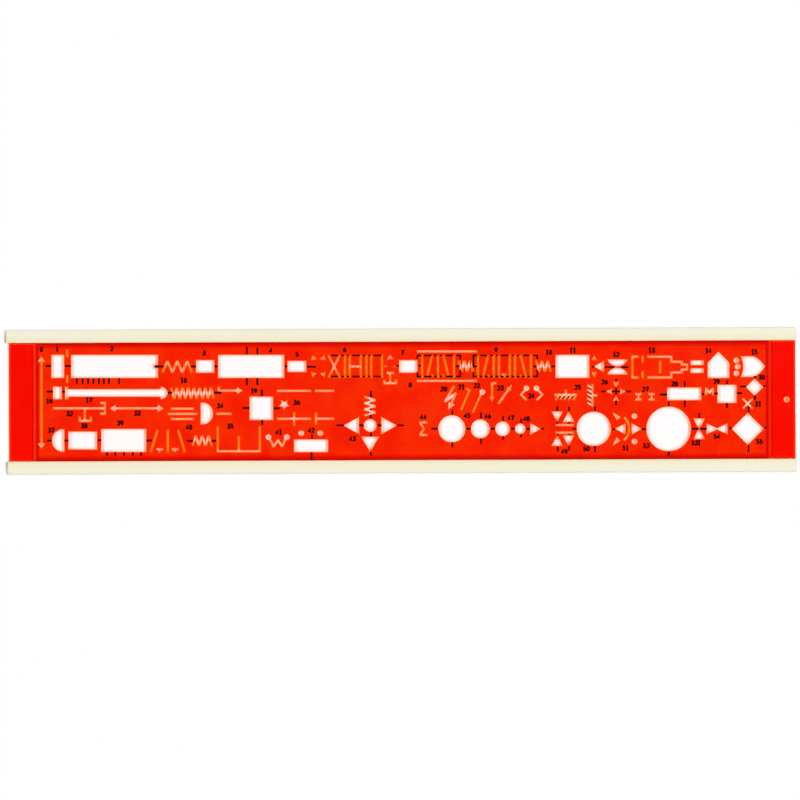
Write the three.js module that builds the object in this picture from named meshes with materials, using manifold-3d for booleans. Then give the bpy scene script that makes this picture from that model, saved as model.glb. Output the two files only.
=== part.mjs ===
// Drafting template for fluid power symbols: a translucent plate with cut-out symbols,
// held by its long edges in two push-on rails that lift it off the paper.
// Millimetres, +X along the template, +Y across it, +Z up from the paper.
import * as THREE from "three";
import { mergeVertices } from "three/addons/utils/BufferGeometryUtils.js";
import Module from "manifold-3d";

// Plate
const PLATE_LENGTH = 299.2;
const FIELD_WIDTH = 45;
const PLATE_THICKNESS = 1.2;
const BAND_LENGTH = 9.2;
const BAND_SLOPE = 1.5;
const BAND_RISE = 0.6;
const HANG_HOLE_DIAMETER = 2.2;
const HANG_HOLE_INSET = 3.3;

// Rails
const RAIL_OVERHANG = 0.4;
const RAIL_WALL = 2.1;
const RAIL_TOP_LIP = 1.2;
const RAIL_FOOT_LIP = 1.2;
const TONGUE_DEPTH = 2.6;
const RAIL_END_RUN = 1.1;
const WALL_LEFT = 0.2;
const RAIL_EDGE_RADIUS = 0.45;
const RAIL_FOOT_INSET = 1.3;
const RAIL_FOOT_RISE = 2.6;
const UPPER_RAIL_SHIFT = -0.4;

// Clearances
const SLIDE_CLEARANCE = 0.2;
const TONGUE_END_CLEARANCE = 0.3;
const BAND_CLEARANCE = 0.3;

// Symbol pattern: line width, how far the walls of a cut-out lean in towards the paper, family sizes,
// and the rows' distance from the pattern's centre line
const LINE = 0.9;
const CUT_DRAFT = 0.15;
const FULL_HEIGHT = 9;
const HALF_HEIGHT = 5;
const BAR_HEIGHT = 8.6;
const SMALL_HOLE = 2.4;
const WIDE_HEAD = { length: 2.2, width: 2.7 };
const LONG_HEAD = { length: 3.1, width: 2.5 };
const SLIM_HEAD = { length: 2.2, width: 1.8 };
const BOW_NECK = 0.6;
const CUT_MARGIN = 0.2;
const PATTERN_SKEW = -0.218;
const PATTERN_SHIFT = -0.08;
const UPPER_ROW = 13.2;
const PISTON_ROW = 3.1;
const VALVE_ROW = 2.75;
const PIPE_ROW = -2.75;
const DISC_ROW = -10.55;
const LOWER_ROW = -15;

// Sizes that follow from those above
const SLOT_HEIGHT = PLATE_THICKNESS + 2 * SLIDE_CLEARANCE;
const SLOT_DEPTH = TONGUE_DEPTH + TONGUE_END_CLEARANCE;
const RAIL_LENGTH = PLATE_LENGTH + 2 * RAIL_OVERHANG;
const RAIL_WIDTH = SLOT_DEPTH + RAIL_WALL;
const RAIL_HEIGHT = RAIL_FOOT_LIP + SLOT_HEIGHT + RAIL_TOP_LIP;
const PLATE_BOTTOM = RAIL_FOOT_LIP + SLIDE_CLEARANCE;
const PLATE_TOP = PLATE_BOTTOM + PLATE_THICKNESS;
const BAND_TOP = PLATE_TOP + BAND_RISE;
const FIELD_END = PLATE_LENGTH / 2 - BAND_LENGTH - BAND_SLOPE;

// Rectangular cut-outs, by centre
const RECTANGLES = [
  { x: -131, y: UPPER_ROW, width: 5, height: FULL_HEIGHT },
  { x: -74.9, y: UPPER_ROW, width: 7.1, height: HALF_HEIGHT },
  { x: -57.4, y: UPPER_ROW, width: 25.3, height: FULL_HEIGHT },
  { x: -40, y: UPPER_ROW, width: 7.3, height: 4.4 },
  { x: 2.4, y: UPPER_ROW, width: 7.1, height: HALF_HEIGHT },
  { x: 64.9, y: UPPER_ROW, width: 13, height: FULL_HEIGHT },
  { x: 112.3, y: UPPER_ROW + 1.4, width: 5.1, height: 2 },
  { x: 112.3, y: UPPER_ROW - 1.6, width: 5.1, height: 2 },
  { x: -131.1, y: PISTON_ROW, width: 3.5, height: HALF_HEIGHT },
  { x: -53.5, y: PIPE_ROW, width: 9.1, height: 9.1 },
  { x: 107.4, y: VALVE_ROW, width: 13.1, height: HALF_HEIGHT },
  { x: 123.7, y: VALVE_ROW, width: 7.4, height: 7.1 },
  { x: -121.5, y: LOWER_ROW, width: 11.1, height: 7 },
  { x: -105.9, y: LOWER_ROW, width: 17.3, height: FULL_HEIGHT },
  { x: -34.6, y: LOWER_ROW - 2, width: 13.1, height: HALF_HEIGHT },
];

// The long barrel has a pointer nib in its right end
const BARREL = { x: -109.4, y: UPPER_ROW, width: 33.2, height: FULL_HEIGHT, nib: 1.4, nibWidth: 0.9 };

// Discs, from the large instrument circle to the small pivots
const DISCS = [
  { x: 101.5, y: DISC_ROW, diameter: 17.1 },
  { x: 73, y: DISC_ROW, diameter: 13.2 },
  { x: 19, y: DISC_ROW, diameter: 10.5 },
  { x: 29.8, y: DISC_ROW, diameter: 7.4 },
  { x: 38.3, y: DISC_ROW, diameter: 5.8 },
  { x: 45, y: DISC_ROW, diameter: 4.2 },
  { x: -12.1, y: -9.3, diameter: 5.1 },
  { x: 127.3, y: 15.5, diameter: SMALL_HOLE },
  { x: 127.8, y: 13.1, diameter: SMALL_HOLE },
  { x: 127.3, y: 10.6, diameter: SMALL_HOLE },
  { x: 30.6, y: 3.5, diameter: SMALL_HOLE },
  { x: 47.4, y: 4.9, diameter: SMALL_HOLE },
  { x: 51.2, y: 4.9, diameter: SMALL_HOLE },
  { x: 88.5, y: -5.7, diameter: SMALL_HOLE },
  { x: 88.5, y: -15.4, diameter: SMALL_HOLE },
  { x: -50.8, y: -13.7, diameter: SMALL_HOLE },
  { x: -43.8, y: -13.7, diameter: SMALL_HOLE },
  { x: -38.3, y: -12.2, diameter: SMALL_HOLE },
  { x: -31.1, y: -12.2, diameter: SMALL_HOLE },
  { x: -6.2, y: UPPER_ROW, diameter: LINE },
  { x: -2.9, y: UPPER_ROW, diameter: LINE },
];

// Half discs, by the middle of the straight side and the way that they bulge
const HALF_DISCS = [
  { x: -76.7, y: -4.7, depth: 4.9, height: 8.5, bulge: 1 },
  { x: -128.4, y: LOWER_ROW, depth: 4.9, height: 8.8, bulge: -1 },
];

// Flow triangles, by the middle of the base and the way that they point
const TRIANGLES = [
  { x: -16.3, y: -9.3, length: 6, base: 6.7, heading: 180 },
  { x: -7.9, y: -9.3, length: 6, base: 6.7, heading: 0 },
  { x: -12.1, y: -13.5, length: 5.9, base: 6.9, heading: -90 },
  { x: 48.8, y: DISC_ROW, length: 4.1, base: 4.5, heading: 0 },
  { x: 59.1, y: -3.9, length: 4, base: 4.5, heading: -90 },
  { x: 63.4, y: -8, length: 4.2, base: 4.5, heading: 90 },
  { x: 59.1, y: -17.1, length: 4.1, base: 4.5, heading: 90 },
  { x: 63.4, y: -13, length: 4.1, base: 4.5, heading: -90 },
  { x: 85.1, y: DISC_ROW, length: 4, base: 4.4, heading: 180 },
  { x: 87.4, y: DISC_ROW, length: 3.9, base: 4.4, heading: 0 },
  { x: 76.9, y: UPPER_ROW, length: 3.9, base: 4.3, heading: 180 },
  { x: 79.9, y: 3.65, length: 2.2, base: 2.3, heading: 180 },
  { x: 83, y: 3.65, length: 2.2, base: 2.3, heading: 0 },
  { x: 81.5, y: 7.2, length: 2.1, base: 2.3, heading: -90 },
  { x: 81.5, y: 0.1, length: 2, base: 2.3, heading: 90 },
  { x: 73.2, y: 15.6, length: 1.9, base: 2.1, heading: 90 },
  { x: 73.2, y: 11, length: 2, base: 2.1, heading: -90 },
  { x: -4.5, y: 15.9, length: 1.8, base: 2.6, heading: 90 },
  { x: -34.3, y: 16.5, length: 1.9, base: 2, heading: -15 },
  { x: -29.3, y: 16.5, length: 1.9, base: 2, heading: 195 },
  { x: -34.3, y: 10.1, length: 1.9, base: 2, heading: 15 },
  { x: -29.3, y: 10.1, length: 1.9, base: 2, heading: 165 },
  { x: 11.6, y: 9.3, length: 1.2, base: 1.2, heading: 90 },
  { x: 15.7, y: 9.3, length: 1.2, base: 1.2, heading: 90 },
  { x: 32.9, y: 9.3, length: 1.2, base: 1.2, heading: 90 },
  { x: 45.1, y: 9.3, length: 1.2, base: 1.2, heading: 90 },
  { x: 82.5, y: -6.7, length: 3.4, base: 2, heading: 134 },
  { x: 82.5, y: -14.4, length: 3.4, base: 2, heading: -134 },
];

// Bow-tie valves, by the point where their triangles meet
const BOW_TIES = [
  { x: 113.1, y: DISC_ROW, length: 8, base: 4.4, upright: true },
  { x: 119.9, y: DISC_ROW, length: 8.1, base: 4.3, upright: false },
];

// Diamonds, by centre and half diagonal
const DIAMONDS = [
  { x: 134.2, y: 5.3, reach: 3.4 },
  { x: 131.6, y: DISC_ROW, reach: 6.2 },
];

// Straight-sided bars of the valve ladders that stand square on the upper row
const UPPER_BARS = [
  -21.7, -19.9, -15.7, -13.5, -11.7, -7.6, 7.7, 13.7, 19.8, 28.9, 34.9, 36.9, 41, 43, 49.1,
];

// Lines through points, one line width across
const LINES = [
  [[-127.4, 19.6], [-127.4, 16.7]],
  [[-127.4, 9.9], [-127.4, 6.9]],
  [[-27.9, 17.4], [-23.6, 9]],
  [[-23.6, 17.4], [-27.9, 9]],
  [[-19.9, UPPER_ROW], [-15.7, UPPER_ROW]],
  [[-5.8, 10.7], [-3.1, 10.7]],
  [[-4.5, 10.7], [-4.5, 6.8]],
  [[-6.7, 8.2], [-6.7, 6.8], [-2.3, 6.8], [-2.3, 8.2]],
  [[5.6, 18.9], [28.6, 18.9]],
  [[5.6, 7.7], [28.6, 7.7]],
  [[9.5, 9], [11.5, 17.4]],
  [[15.8, 17.4], [17.8, 9]],
  [[30.8, 9], [32.8, 17.4]],
  [[45.2, 17.4], [47.2, 9]],
  [[37.9, 10.1], [39.9, 10.1]],
  [[38.9, 10.1], [38.9, 9]],
  [[90.1, 16.9], [87.7, 16.9], [87.7, 9], [90.1, 9]],
  [[91.6, 17.3], [91.6, 14.6]],
  [[91.6, 11.4], [91.6, 8.7]],
  [[98.3, 15.4], [98.3, 10.6]],
  [
    [93.4, 16.9], [102.5, 16.9], [102.5, 15], [106.5, 15], [106.5, 13.9], [108.5, 13.9],
    [108.5, 12], [106.5, 12], [106.5, 10.9], [102.5, 10.9], [102.5, 9], [93.4, 9],
  ],
  [[-47.6, 3.9], [-34.6, 3.9]],
  [[-33.2, 3.9], [-25.8, 3.9]],
  [[-47.6, -6.7], [-34.5, -6.7]],
  [[-41, -4.2], [-41, -9.4]],
  [[-32.7, -6.7], [-25.8, -6.7]],
  [[-32.7, -4.3], [-32.7, -9.1]],
  [[-132.8, PIPE_ROW], [-113.1, PIPE_ROW]],
  [[-114.9, -0.7], [-113.1, -0.7], [-113.1, -4.8], [-114.9, -4.8]],
  [[-120.7, PIPE_ROW], [-120.7, -7.5]],
  [[-122.6, -5.8], [-122.6, -7.5], [-118.4, -7.5], [-118.4, -5.8]],
  [[-88, -2.9], [-79.1, -2.9]],
  [[-89.1, -4.85], [-77.8, -4.85]],
  [[-88, -6.8], [-79.1, -6.8]],
  [[-70.7, -4.8], [-64.8, -4.8]],
  [[24.4, 4.8], [25.7, 4.1], [22.5, -3.5]],
  [[30.5, 3.5], [26.9, -4.5]],
  [[47.2, 4.6], [45.4, 2.5], [47.4, 0.3]],
  [[51.4, 4.6], [53.4, 2.5], [51.3, 0.3]],
  [[88.8, 2.7], [91.3, 2.7]],
  [[88.8, 0.6], [91.3, 0.6]],
  [[90, 2.7], [90, 0.6]],
  [[93.8, 2.7], [96.3, 2.7]],
  [[93.8, 0.6], [96.3, 0.6]],
  [[95, 2.7], [95, 0.6]],
  [[115.6, 2.3], [115.8, 5], [117, 3], [118.3, 5], [118.5, 2.3]],
  [[129.7, 1], [133.5, -2.9]],
  [[133.5, 1], [129.7, -2.9]],
  [[-95.6, -19.4], [-93, -11]],
  [[-89.1, -10.9], [-89.1, -19.4]],
  [[-85.2, -11], [-82.6, -19.4]],
  [[-93.4, -18.3], [-90.9, -18.3]],
  [[-92.2, -18.3], [-92.2, -19.4]],
  [[-87.6, -18.3], [-85.1, -18.3]],
  [[-86.4, -18.3], [-86.4, -19.4]],
  [[-70.1, -9.6], [-70.1, -19.1], [-54.1, -19.1], [-54.1, -9.6]],
  [[-62.1, -13.4], [-62.1, -19.1]],
  [[-50.5, -14], [-48.8, -17.3], [-47.2, -14.8], [-45.6, -17.3], [-44.1, -14]],
  [[9.8, -8.1], [6.9, -8.1], [8.3, -10.5], [6.9, -12.9], [9.8, -12.9]],
  [[58.5, -9.1], [65.5, -9.1]],
  [[58.5, -12], [65.5, -12]],
];

// Arrows: a line through points with a head at its end, and at its start where double
const ARROWS = [
  { through: [[-137.2, -18.3], [-137.2, 17.2]], head: WIDE_HEAD, double: true },
  { through: [[-111.2, PIPE_ROW], [-90.7, PIPE_ROW]], head: WIDE_HEAD, double: true },
  { through: [[-69.7, 5.6], [-69.7, 4], [-60.6, 4]], head: WIDE_HEAD },
  { through: [[19.9, 5.9], [16.3, -0.4], [20.6, 3.2], [17.6, -3.6]], head: LONG_HEAD },
  { through: [[36, 6.8], [34.3, 6.8], [34.3, -0.4]], head: SLIM_HEAD },
  { through: [[36.7, -1.1], [41.8, 6.2]], head: SLIM_HEAD },
];

// Springs: a zigzag from its first point, one step along and one rise across for each leg
const SPRINGS = [
  { x: -91.1, y: 10.9, step: 1.87, rise: 4.4, legs: 6 },
  { x: 21.6, y: 15.4, step: 1.08, rise: -4.2, legs: 5 },
  { x: 51.1, y: 15.4, step: 1.1, rise: -4.2, legs: 5 },
  { x: -87.8, y: 5.1, step: 1.08, rise: -4.2, legs: 15 },
  { x: -79.7, y: -17.1, step: 1.23, rise: 4, legs: 6 },
  { x: -14.3, y: 1.6, step: -1.18, rise: 4.2, legs: 6, upright: true },
];

// Hatched ground marks: a bar, a stub on one side and slanted teeth on the other
const GROUNDS = [
  { x: 62.4, y: 2.4, length: 8.6, turn: 0 },
  { x: 72.5, y: 2.2, length: 8.6, turn: -90 },
];
const GROUND_STUB = 2;
const TOOTH_COUNT = 5;
const TOOTH_PITCH = 1.65;
const TOOTH_DROP = 2;
const TOOTH_LEAN = 1.1;

// Shapes that appear once
const PISTON = {
  left: -128.3, right: -89.1, width: 3, flange: 1.4, flangeWidth: 5, head: 2.8, headWidth: 4.8,
};
const STAR = { x: -44.8, y: -1.3, reach: 2.2, waist: 1.1, points: 5 };
const SEGMENTS = { x: 82.05, width: 7.9, depth: 2.7, upperFlat: 15.9, lowerFlat: 10.1 };
const HOUSE = { x: 120.5, base: 8.7, shoulder: 14.6, apex: 19, width: 8.4 };
const SHIELD = { left: 128.9, flatEnd: 133, tip: 138.3, y: 13.1, height: 8, hollow: 0.9 };
const ARC = { x: 84.6, y: DISC_ROW, height: 8.8, bulge: 1.9 };

// Fineness of the curves, and how cutting is done
const DISC_SEGMENT = 1.1;
const DISC_LEAST_SIDES = 10;
const HALF_DISC_STEPS = 14;
const SEGMENT_STEPS = 12;
const ARC_STEPS = 8;
const CURVE_STEPS = 8;
const FILLET_STEPS = 6;
const HANG_HOLE_SIDES = 20;
const SHARP_BEND = 0.7;
const CUT_OVERRUN = 0.6;
const WELD_DISTANCE = 1e-4;
const DEGREE = Math.PI / 180;

const wasm = await Module();
wasm.setup();

// Solids for joining and cutting

function toSolid(geometry) {
  const bare = geometry.clone();
  bare.deleteAttribute("normal");
  bare.deleteAttribute("uv");
  const merged = mergeVertices(bare, WELD_DISTANCE);
  return new wasm.Manifold(
    new wasm.Mesh({
      numProp: 3,
      vertProperties: new Float32Array(merged.attributes.position.array),
      triVerts: new Uint32Array(merged.index.array),
    }),
  );
}

function toGeometry(solid) {
  const mesh = solid.getMesh();
  const geometry = new THREE.BufferGeometry();
  geometry.setAttribute("position", new THREE.BufferAttribute(mesh.vertProperties, 3));
  geometry.setIndex(new THREE.BufferAttribute(mesh.triVerts, 1));
  geometry.computeVertexNormals();
  return geometry;
}

// Outlines of the cut-outs

function polygon(points) {
  return new THREE.Shape(points.map(([x, y]) => new THREE.Vector2(x, y)));
}

function rectangle({ x, y, width, height }) {
  const [w, h] = [width / 2, height / 2];
  return polygon([[x - w, y - h], [x + w, y - h], [x + w, y + h], [x - w, y + h]]);
}

function barrel({ x, y, width, height, nib, nibWidth }) {
  const [w, h, n] = [width / 2, height / 2, nibWidth / 2];
  return polygon([
    [x - w, y - h], [x + w, y - h], [x + w, y - n], [x + w - nib, y - n],
    [x + w - nib, y + n], [x + w, y + n], [x + w, y + h], [x - w, y + h],
  ]);
}

function disc({ x, y, diameter }) {
  const pairs = Math.round((Math.PI * diameter) / DISC_SEGMENT / 2);
  const sides = Math.max(DISC_LEAST_SIDES, 2 * pairs);
  const corner = (_, i) => {
    const angle = (i * 2 * Math.PI) / sides;
    return [x + (diameter / 2) * Math.cos(angle), y + (diameter / 2) * Math.sin(angle)];
  };
  return polygon(Array.from({ length: sides }, corner));
}

function halfDisc({ x, y, depth, height, bulge }) {
  const radius = height / 2;
  const points = [[x, y - radius]];
  for (let i = 0; i <= HALF_DISC_STEPS; i += 1) {
    const angle = (i / HALF_DISC_STEPS - 0.5) * Math.PI;
    const reach = depth - radius + radius * Math.cos(angle);
    points.push([x + bulge * reach, y + radius * Math.sin(angle)]);
  }
  points.push([x, y + radius]);
  return polygon(points);
}

function triangle({ x, y, length, base, heading }) {
  const along = new THREE.Vector2(Math.cos(heading * DEGREE), Math.sin(heading * DEGREE));
  const [bx, by] = [(-along.y * base) / 2, (along.x * base) / 2];
  return polygon([
    [x + bx, y + by],
    [x - bx, y - by],
    [x + along.x * length, y + along.y * length],
  ]);
}

function bowTie({ x, y, length, base, upright }) {
  const [l, b, n] = [length / 2, base / 2, BOW_NECK / 2];
  const across = [[-l, -b], [0, -n], [l, -b], [l, b], [0, n], [-l, b]];
  return polygon(across.map(([u, v]) => (upright ? [x + v, y - u] : [x + u, y + v])));
}

function diamond({ x, y, reach }) {
  return polygon([[x + reach, y], [x, y + reach], [x - reach, y], [x, y - reach]]);
}

// A strip of one line width along a path, mitred inside each bend and blunt outside a sharp one
function strip(path) {
  const points = path.map(([x, y]) => new THREE.Vector2(x, y));
  const half = LINE / 2;
  const normals = points.slice(1).map((p, i) => {
    const along = p.clone().sub(points[i]).normalize();
    return new THREE.Vector2(-along.y, along.x);
  });
  const left = [];
  const right = [];
  points.forEach((p, i) => {
    const before = normals[Math.max(i - 1, 0)];
    const after = normals[Math.min(i, normals.length - 1)];
    const spread = 1 + before.dot(after);
    const mitre = before.clone().add(after).multiplyScalar(half / spread);
    const sharp = spread < SHARP_BEND;
    const turnsLeft = before.cross(after) > 0;
    const side = (sign, outside) => {
      if (!sharp || !outside) return [p.clone().addScaledVector(mitre, sign)];
      return [before, after].map((n) => p.clone().addScaledVector(n, sign * half));
    };
    left.push(...side(1, !turnsLeft));
    right.push(...side(-1, turnsLeft));
  });
  return new THREE.Shape([...left, ...right.reverse()]);
}

function upperBar(x) {
  return strip([[x, UPPER_ROW - BAR_HEIGHT / 2], [x, UPPER_ROW + BAR_HEIGHT / 2]]);
}

function arrowHead([fromX, fromY], [tipX, tipY], { length, width }) {
  const angle = Math.atan2(tipY - fromY, tipX - fromX);
  const x = tipX - length * Math.cos(angle);
  const y = tipY - length * Math.sin(angle);
  return triangle({ x, y, length, base: width, heading: angle / DEGREE });
}

// The shaft stops inside its head, where the head is still as wide as the line
function shaftEnd([fromX, fromY], [tipX, tipY], { length, width }) {
  const run = Math.hypot(tipX - fromX, tipY - fromY);
  const share = 1 - (length * LINE) / width / run;
  return [fromX + (tipX - fromX) * share, fromY + (tipY - fromY) * share];
}

function arrow({ through, head, double }) {
  const [tip, before] = through.toReversed();
  const [tail, next] = through;
  const start = double ? shaftEnd(next, tail, head) : tail;
  const shaft = [start, ...through.slice(1, -1), shaftEnd(before, tip, head)];
  const heads = [arrowHead(before, tip, head)];
  if (double) heads.push(arrowHead(next, tail, head));
  return [strip(shaft), ...heads];
}

function spring({ x, y, step, rise, legs, upright }) {
  const corner = (_, i) => {
    const [along, across] = [i * step, i % 2 ? rise : 0];
    return upright ? [x + across, y + along] : [x + along, y + across];
  };
  return strip(Array.from({ length: legs + 1 }, corner));
}

function ground({ x, y, length, turn }) {
  const [c, s] = [Math.cos(turn * DEGREE), Math.sin(turn * DEGREE)];
  const place = ([u, v]) => [x + u * c - v * s, y + u * s + v * c];
  const first = (-TOOTH_PITCH * (TOOTH_COUNT - 1)) / 2;
  const teeth = Array.from({ length: TOOTH_COUNT }, (_, i) => {
    const root = first + i * TOOTH_PITCH;
    return [[root + TOOTH_LEAN / 2, 0], [root - TOOTH_LEAN / 2, -TOOTH_DROP]];
  });
  const bar = [[-length / 2, 0], [length / 2, 0]];
  const stub = [[0, 0], [0, GROUND_STUB]];
  return [bar, stub, ...teeth].map((path) => strip(path.map(place)));
}

function piston({ left, right, width, flange, flangeWidth, head, headWidth }) {
  const neck = right - head;
  const shape = new THREE.Shape();
  shape.moveTo(left, PISTON_ROW - flangeWidth / 2);
  shape.lineTo(left + flange, PISTON_ROW - flangeWidth / 2);
  shape.lineTo(left + flange, PISTON_ROW - width / 2);
  shape.lineTo(neck, PISTON_ROW - width / 2);
  shape.lineTo(neck, PISTON_ROW - headWidth / 2);
  shape.absellipse(neck, PISTON_ROW, head, headWidth / 2, -Math.PI / 2, Math.PI / 2, false, 0);
  shape.lineTo(neck, PISTON_ROW + width / 2);
  shape.lineTo(left + flange, PISTON_ROW + width / 2);
  shape.lineTo(left + flange, PISTON_ROW + flangeWidth / 2);
  shape.lineTo(left, PISTON_ROW + flangeWidth / 2);
  return shape;
}

function star({ x, y, reach, waist, points }) {
  const corner = (_, i) => {
    const angle = Math.PI / 2 + (i * Math.PI) / points + Math.PI / points;
    const radius = i % 2 ? waist : reach;
    return [x + radius * Math.cos(angle), y + radius * Math.sin(angle)];
  };
  return polygon(Array.from({ length: 2 * points }, corner));
}

// A flat side and an arc that bulges towards the given side of it
function segment(x, flat, width, depth, side) {
  const radius = (width * width) / 8 / depth + depth / 2;
  const half = Math.asin(width / 2 / radius);
  const corner = (_, i) => {
    const angle = (i / SEGMENT_STEPS - 0.5) * 2 * half;
    return [x + radius * Math.sin(angle), flat + side * (radius * Math.cos(angle) - radius + depth)];
  };
  return polygon(Array.from({ length: SEGMENT_STEPS + 1 }, corner));
}

function segmentPair({ x, width, depth, upperFlat, lowerFlat }) {
  return [segment(x, upperFlat, width, depth, -1), segment(x, lowerFlat, width, depth, 1)];
}

function house({ x, base, shoulder, apex, width }) {
  const w = width / 2;
  return polygon([[x - w, base], [x + w, base], [x + w, shoulder], [x, apex], [x - w, shoulder]]);
}

function shield({ left, flatEnd, tip, y, height, hollow }) {
  const h = height / 2;
  const bend = flatEnd + (tip - flatEnd) / 2;
  const shape = new THREE.Shape();
  shape.moveTo(left, y - h);
  shape.lineTo(flatEnd, y - h);
  shape.quadraticCurveTo(bend, y - h, tip, y);
  shape.quadraticCurveTo(bend, y + h, flatEnd, y + h);
  shape.lineTo(left, y + h);
  shape.quadraticCurveTo(left + 2 * hollow, y, left, y - h);
  return shape;
}

function arcLine({ x, y, height, bulge }) {
  const radius = (height * height) / 8 / bulge + bulge / 2;
  const half = Math.asin(height / 2 / radius);
  const corner = (_, i) => {
    const angle = (i / ARC_STEPS - 0.5) * 2 * half;
    return [x + bulge - radius + radius * Math.cos(angle), y + radius * Math.sin(angle)];
  };
  return strip(Array.from({ length: ARC_STEPS + 1 }, corner));
}

function symbolOutlines() {
  return [
    ...RECTANGLES.map(rectangle),
    barrel(BARREL),
    ...DISCS.map(disc),
    ...HALF_DISCS.map(halfDisc),
    ...TRIANGLES.map(triangle),
    ...BOW_TIES.map(bowTie),
    ...DIAMONDS.map(diamond),
    ...UPPER_BARS.map(upperBar),
    ...LINES.map(strip),
    ...ARROWS.flatMap(arrow),
    ...SPRINGS.map(spring),
    ...GROUNDS.flatMap(ground),
    piston(PISTON),
    star(STAR),
    ...segmentPair(SEGMENTS),
    house(HOUSE),
    shield(SHIELD),
    arcLine(ARC),
  ];
}

// Plate

// A cut-out has its full outline at the top of the plate and narrows from there downwards
function cutter(outline) {
  const fall = PLATE_THICKNESS + CUT_OVERRUN;
  const lean = (CUT_DRAFT * fall) / PLATE_THICKNESS;
  const geometry = new THREE.ExtrudeGeometry(outline, {
    depth: CUT_OVERRUN,
    bevelThickness: fall,
    bevelSize: lean,
    bevelOffset: -lean,
    bevelSegments: 1,
    curveSegments: CURVE_STEPS,
  });
  geometry.translate(PATTERN_SHIFT, PATTERN_SHIFT, PLATE_TOP);
  geometry.rotateZ(PATTERN_SKEW * DEGREE);
  return geometry;
}

// A cut-out is made only where the thin field between the bands and rails has room for it
function hasRoom(geometry) {
  geometry.computeBoundingBox();
  const { min, max } = geometry.boundingBox;
  const endRoom = FIELD_END - CUT_MARGIN;
  const sideRoom = FIELD_WIDTH / 2 - CUT_MARGIN;
  return Math.max(-min.x, max.x) < endRoom && Math.max(-min.y, max.y) < sideRoom;
}

function sheet() {
  const width = FIELD_WIDTH + 2 * TONGUE_DEPTH;
  const geometry = new THREE.BoxGeometry(PLATE_LENGTH, width, PLATE_THICKNESS);
  geometry.translate(0, 0, PLATE_BOTTOM + PLATE_THICKNESS / 2);
  return toSolid(geometry);
}

// A raised band across one end, sloping down to the field on its inner side
function endBand(end) {
  const outer = PLATE_LENGTH / 2;
  const inner = outer - BAND_LENGTH;
  const foot = PLATE_TOP - PLATE_THICKNESS / 2;
  const slopeFoot = inner - BAND_SLOPE;
  const profile = polygon([
    [end * outer, foot], [end * outer, BAND_TOP], [end * inner, BAND_TOP],
    [end * slopeFoot, PLATE_TOP], [end * slopeFoot, foot],
  ]);
  const width = FIELD_WIDTH - 2 * BAND_CLEARANCE;
  const geometry = new THREE.ExtrudeGeometry(profile, { depth: width, bevelEnabled: false });
  geometry.rotateX(Math.PI / 2);
  geometry.translate(0, width / 2, 0);
  return toSolid(geometry);
}

function hangHole() {
  const height = BAND_TOP - PLATE_BOTTOM + 2 * CUT_OVERRUN;
  const radius = HANG_HOLE_DIAMETER / 2;
  const geometry = new THREE.CylinderGeometry(radius, radius, height, HANG_HOLE_SIDES);
  geometry.rotateX(Math.PI / 2);
  geometry.translate(PLATE_LENGTH / 2 - HANG_HOLE_INSET, 0, (PLATE_BOTTOM + BAND_TOP) / 2);
  return toSolid(geometry);
}

function symbolPlate() {
  const blank = sheet().add(endBand(-1)).add(endBand(1)).subtract(hangHole());
  const cutters = symbolOutlines().map(cutter).filter(hasRoom).map(toSolid);
  return toGeometry(cutters.reduce((plate, cut) => plate.subtract(cut), blank));
}

// Rails

// Section of a rail outwards from its inner edge: a slot for the plate, a flat top, and a foot
// that is drawn in on the outer side
function railSection(side) {
  const edge = Math.min(RAIL_EDGE_RADIUS, RAIL_TOP_LIP - WALL_LEFT, RAIL_FOOT_LIP - WALL_LEFT);
  const inset = Math.min(RAIL_FOOT_INSET, RAIL_WALL - WALL_LEFT);
  const rise = Math.min(RAIL_FOOT_RISE, RAIL_HEIGHT - edge - WALL_LEFT);
  const slotTop = RAIL_FOOT_LIP + SLOT_HEIGHT;
  const shape = new THREE.Shape();
  shape.moveTo(edge, 0);
  shape.lineTo(RAIL_WIDTH - inset, 0);
  shape.absellipse(RAIL_WIDTH - inset, rise, inset, rise, -Math.PI / 2, 0, false, 0);
  shape.lineTo(RAIL_WIDTH, RAIL_HEIGHT - edge);
  shape.absarc(RAIL_WIDTH - edge, RAIL_HEIGHT - edge, edge, 0, Math.PI / 2, false);
  shape.lineTo(edge, RAIL_HEIGHT);
  shape.absarc(edge, RAIL_HEIGHT - edge, edge, Math.PI / 2, Math.PI, false);
  shape.lineTo(0, slotTop);
  shape.lineTo(SLOT_DEPTH, slotTop);
  shape.lineTo(SLOT_DEPTH, RAIL_FOOT_LIP);
  shape.lineTo(0, RAIL_FOOT_LIP);
  shape.lineTo(0, edge);
  shape.absarc(edge, edge, edge, Math.PI, 1.5 * Math.PI, false);
  const outline = shape.extractPoints(FILLET_STEPS).shape.slice(0, -1);
  return polygon(outline.map((p) => [side * (FIELD_WIDTH / 2 + p.x), p.y]));
}

// The ends are sheared at a slant, so the foot reaches past the top on the left
function edgeRail(side) {
  const geometry = new THREE.ExtrudeGeometry(railSection(side), {
    depth: RAIL_LENGTH,
    bevelEnabled: false,
  });
  geometry.translate(0, 0, -RAIL_LENGTH / 2);
  geometry.rotateX(Math.PI / 2);
  geometry.rotateZ(Math.PI / 2);
  const slant = RAIL_END_RUN / RAIL_HEIGHT;
  const shear = new THREE.Matrix4().makeShear(0, 0, 0, 0, slant, 0);
  return geometry.translate(0, 0, -RAIL_HEIGHT).applyMatrix4(shear).translate(0, 0, RAIL_HEIGHT);
}

// Assembly

const plateRed = new THREE.MeshStandardMaterial({ color: 0xf82104, roughness: 0.25, metalness: 0 });
const railCream = new THREE.MeshStandardMaterial({ color: 0xf4eed7, roughness: 0.45, metalness: 0 });

function named(name, geometry, material) {
  const mesh = new THREE.Mesh(geometry, material);
  mesh.name = name;
  return mesh;
}

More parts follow.
